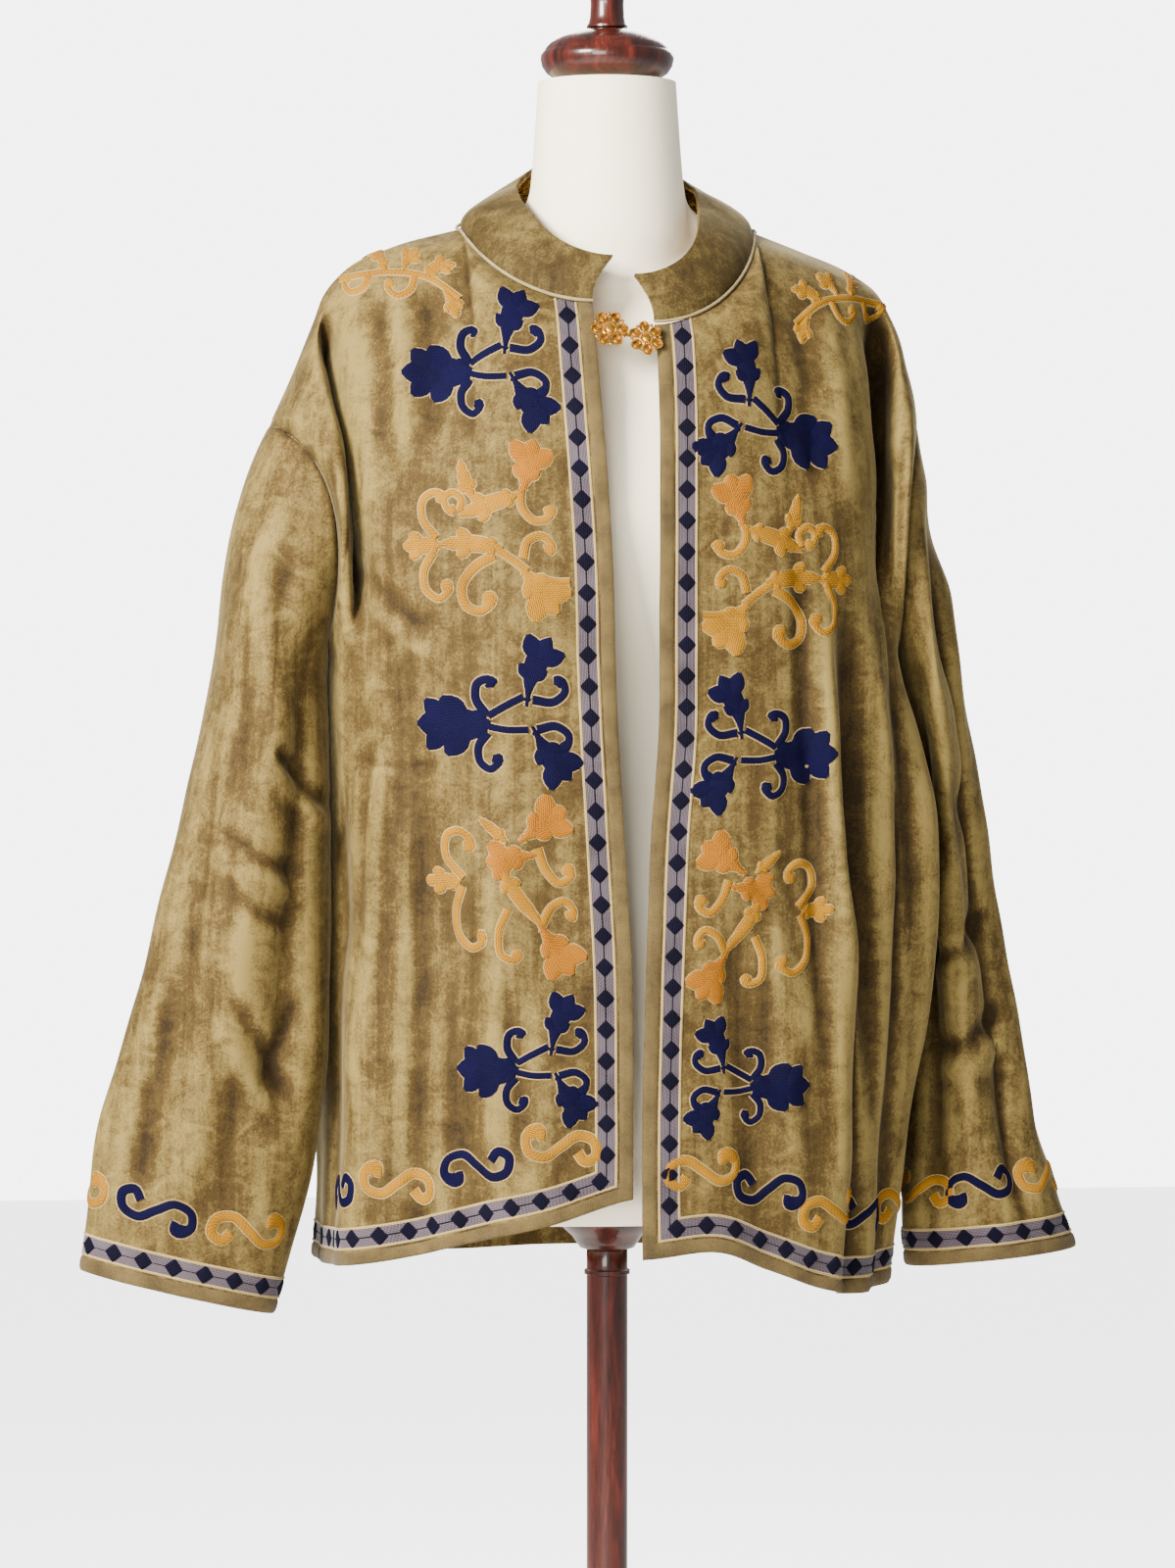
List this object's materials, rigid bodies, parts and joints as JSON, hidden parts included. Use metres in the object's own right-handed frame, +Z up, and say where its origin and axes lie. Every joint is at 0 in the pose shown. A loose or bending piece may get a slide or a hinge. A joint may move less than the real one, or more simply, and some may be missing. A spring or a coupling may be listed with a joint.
{
  "type": "jacket on a dress form",
  "caption": "Open-front velvet jacket with a stand collar, long straight sleeves and a hook clasp, worn by a limbless dress form on a pole stand.",
  "frame": {"origin": "centre of the underside of the round stand base, on the floor", "axes": "+Z up along the pole and the neck, the jacket's front faces -Y, the wearer's right is at -X"},
  "size_m": [0.6887, 0.38, 1.563],
  "materials": {
    "velvet": "olive gold velvet",
    "facing": "printed collar facing",
    "piping": "pale woven edge",
    "gilt": "old gilt",
    "form_jersey": "cream jersey cover",
    "dark_wood": "polished dark red wood"
  },
  "bodies": {
    "root": {"front_right": "velvet", "front_left": "velvet", "back": "velvet", "sleeve_right": "velvet", "sleeve_left": "velvet", "collar": "velvet", "collar_facing": "facing", "neck_piping": "piping", "binding_right": "piping", "binding_left": "piping", "binding_back": "piping", "cuff_binding_right": "piping", "cuff_binding_left": "piping", "clasp_right": "gilt", "clasp_left": "gilt", "clasp_hook": "gilt", "form_torso": "form_jersey", "neck_cap": "dark_wood", "finial": "dark_wood", "form_socket": "dark_wood", "stand_pole": "dark_wood", "stand_boss": "dark_wood", "stand_base": "dark_wood"}
  },
  "joints": []
}
